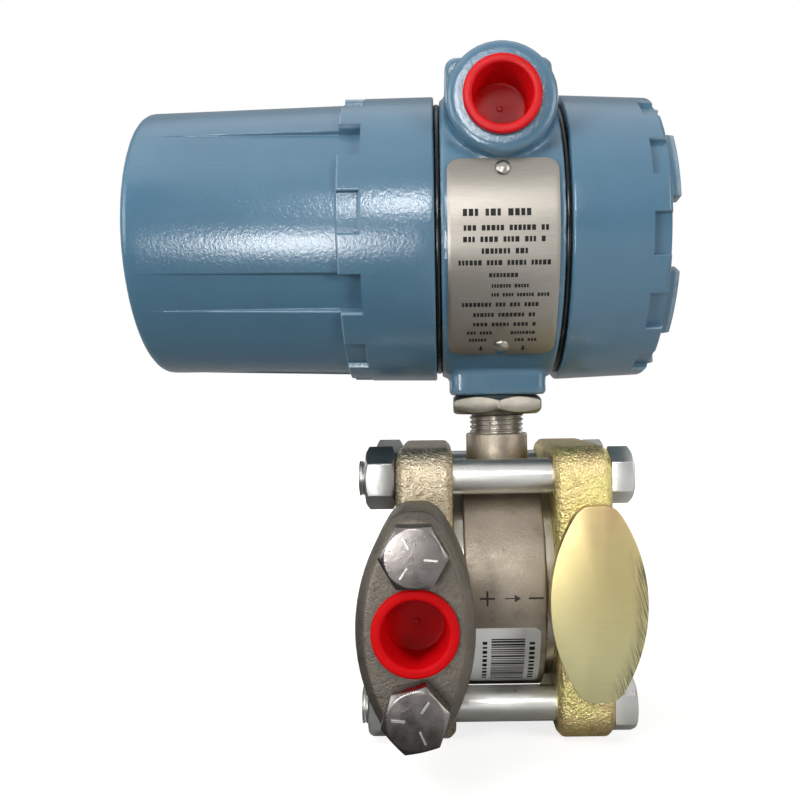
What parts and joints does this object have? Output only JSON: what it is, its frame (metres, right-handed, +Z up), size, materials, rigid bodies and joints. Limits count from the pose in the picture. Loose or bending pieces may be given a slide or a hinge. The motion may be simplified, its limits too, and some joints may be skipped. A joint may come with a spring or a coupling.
{
  "type": "pressure transmitter",
  "caption": "Industrial differential pressure transmitter: painted two-compartment electronics housing with screw covers on a stainless sensor module clamped between process flanges.",
  "frame": {"origin": "on the neck axis, in the plane that both flanges stand on", "axes": "+Z up along the neck, +X along the housing axis towards the circuit cover, -Y towards the process port and the plugged conduit entry"},
  "size_m": [0.1676, 0.1383, 0.2126],
  "materials": {
    "module_steel": "fine blasted stainless steel",
    "cast_steel": "cast stainless steel, blasted",
    "yellow_zinc": "yellow passivated zinc on cast steel",
    "flange_seal": "white filled fluoroplastic",
    "zinc_steel": "bright zinc plated steel",
    "adapter_steel": "satin forged stainless steel",
    "red_plastic": "glossy moulded plastic",
    "bright_steel": "turned stainless steel",
    "housing_paint": "semi-gloss blue-grey paint on cast aluminium",
    "black_rubber": "smooth black rubber",
    "plate_steel": "brushed stainless sheet",
    "adjuster_brass": "turned brass",
    "black_moulding": "black moulding compound",
    "board_green": "glass laminate with green resist"
  },
  "bodies": {
    "sensor_body": {"sensor_module": "module_steel", "high_side_flange": "cast_steel", "low_side_blank_flange": "yellow_zinc", "high_side_seal": "flange_seal", "low_side_seal": "flange_seal", "flange_bolts": "zinc_steel", "flange_nuts": "zinc_steel", "flange_adapter": "adapter_steel", "adapter_bolts": "zinc_steel", "adapter_seal": "flange_seal", "vent_valve_seat": "bright_steel", "neck_lock_nut": "bright_steel"},
    "vent_stem": {"vent_valve_stem": "bright_steel"},
    "port_plug": {"process_port_plug": "red_plastic"},
    "housing": {"electronics_housing": "housing_paint", "nameplate": "plate_steel", "nameplate_screws": "plate_steel", "terminal_block": "black_moulding", "terminal_screws": "bright_steel", "terminal_block_screws": "bright_steel", "ground_screw": "bright_steel", "amplifier_board": "board_green", "calibration_board": "board_green", "board_posts": "adjuster_brass", "board_spacers": "adjuster_brass", "board_screws": "bright_steel"},
    "zero_adjuster": {"zero_screw": "adjuster_brass"},
    "span_adjuster": {"span_screw": "adjuster_brass"},
    "entry_plug": {"conduit_plug": "red_plastic"},
    "terminal_seal": {"terminal_cover_seal": "black_rubber"},
    "terminal_lid": {"terminal_cover": "housing_paint"},
    "circuit_seal": {"circuit_cover_seal": "black_rubber"},
    "circuit_lid": {"circuit_cover": "housing_paint"}
  },
  "joints": [
    {"name": "vent_stem_turn", "type": "hinge", "parent": "sensor_body", "child": "vent_stem", "pos_m": [-0.0267, 0.05, 0.0462], "axis": [0, 1, 0], "range_deg": [0, 540]},
    {"name": "port_plug_pull", "type": "slide", "parent": "sensor_body", "child": "port_plug", "axis": [0, -1, 0], "range_m": [0, 0.03]},
    {"name": "housing_swivel", "type": "hinge", "parent": "sensor_body", "child": "housing", "pos_m": [0, 0, 0.1085], "axis": [0, 0, 1], "range_deg": [-90, 90]},
    {"name": "zero_screw_turn", "type": "hinge", "parent": "housing", "child": "zero_adjuster", "pos_m": [0.0143, -0.04654, 0.15661], "axis": [0, -0.9945, -0.1045], "continuous": true},
    {"name": "span_screw_turn", "type": "hinge", "parent": "housing", "child": "span_adjuster", "pos_m": [0.0143, -0.04132, 0.13953], "axis": [0, -0.8829, -0.4695], "continuous": true},
    {"name": "conduit_plug_pull", "type": "slide", "parent": "housing", "child": "entry_plug", "axis": [0, -1, 0], "range_m": [0, 0.03]},
    {"name": "terminal_cover_turn", "type": "hinge", "parent": "housing", "child": "terminal_seal", "pos_m": [-0.0203, 0, 0.1615], "axis": [-1, 0, 0], "range_deg": [0, 2880]},
    {"name": "terminal_cover_run", "type": "slide", "parent": "terminal_seal", "child": "terminal_lid", "axis": [-1, 0, 0], "range_m": [0, 0.012]},
    {"name": "circuit_cover_turn", "type": "hinge", "parent": "housing", "child": "circuit_seal", "pos_m": [0.0203, 0, 0.1615], "axis": [1, 0, 0], "range_deg": [0, 2880]},
    {"name": "circuit_cover_run", "type": "slide", "parent": "circuit_seal", "child": "circuit_lid", "axis": [1, 0, 0], "range_m": [0, 0.012]}
  ],
  "couplings": [
    {"joint": "terminal_cover_run", "follows": "terminal_cover_turn", "m_per_rad": 0.00023873},
    {"joint": "circuit_cover_run", "follows": "circuit_cover_turn", "m_per_rad": 0.00023873}
  ]
}
